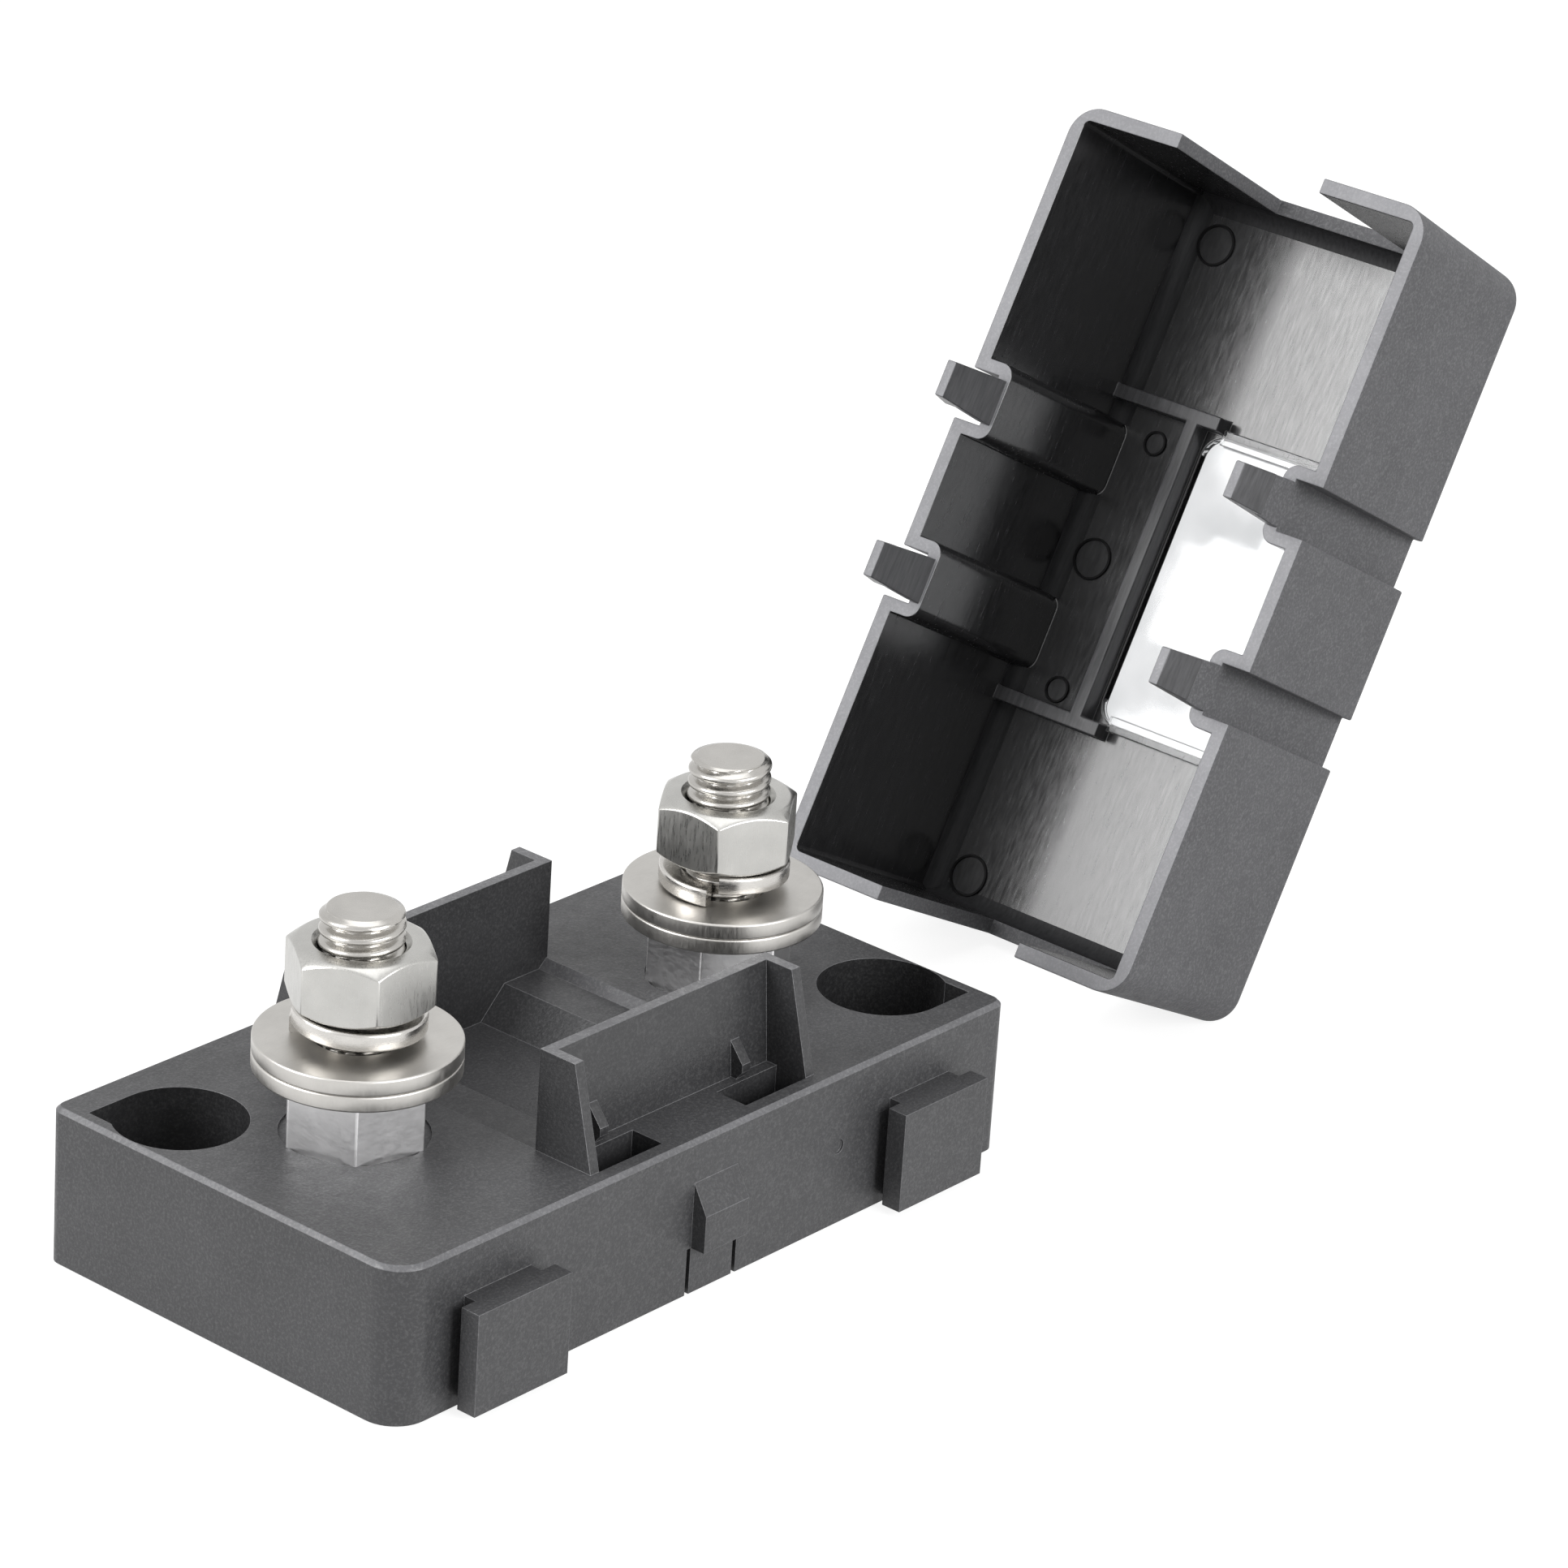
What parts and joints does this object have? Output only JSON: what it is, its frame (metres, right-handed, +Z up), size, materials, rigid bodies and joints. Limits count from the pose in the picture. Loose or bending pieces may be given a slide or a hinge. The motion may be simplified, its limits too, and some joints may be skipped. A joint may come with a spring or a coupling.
{
  "type": "bolt-down fuse holder",
  "caption": "Moulded bolt-down fuse holder: studs with nuts and washers carry a strip fuse across a walled bay, and a clip-on cover with a clear window stands beside it.",
  "frame": {"origin": "on the underside of the base, midway between the two studs", "axes": "+X along the base towards the end where the cover stands, +Y across the base away from the joining lugs, +Z up along the studs"},
  "size_m": [0.0974, 0.0291, 0.0506],
  "materials": {
    "base_plastic": "fine spark-eroded texture",
    "cover_plastic": "satin outside, polished inside",
    "clear_plastic": "clear, polished",
    "steel": "bright, lightly tumbled"
  },
  "bodies": {
    "holder": {"base": "base_plastic", "stud_left": "steel", "stud_right": "steel", "lower_washer_left": "steel", "lower_washer_right": "steel", "upper_washer_left": "steel", "upper_washer_right": "steel", "spring_washer_left": "steel", "spring_washer_right": "steel", "cover": "cover_plastic", "window": "clear_plastic"},
    "nut_left": {"nut_left": "steel"},
    "nut_right": {"nut_right": "steel"}
  },
  "joints": [
    {"name": "nut_left_turn", "type": "hinge", "parent": "holder", "child": "nut_left", "pos_m": [-0.015, 0, 0.0192], "axis": [0, 0, 1], "continuous": true},
    {"name": "nut_right_turn", "type": "hinge", "parent": "holder", "child": "nut_right", "pos_m": [0.015, 0, 0.0192], "axis": [0, 0, 1], "continuous": true}
  ]
}
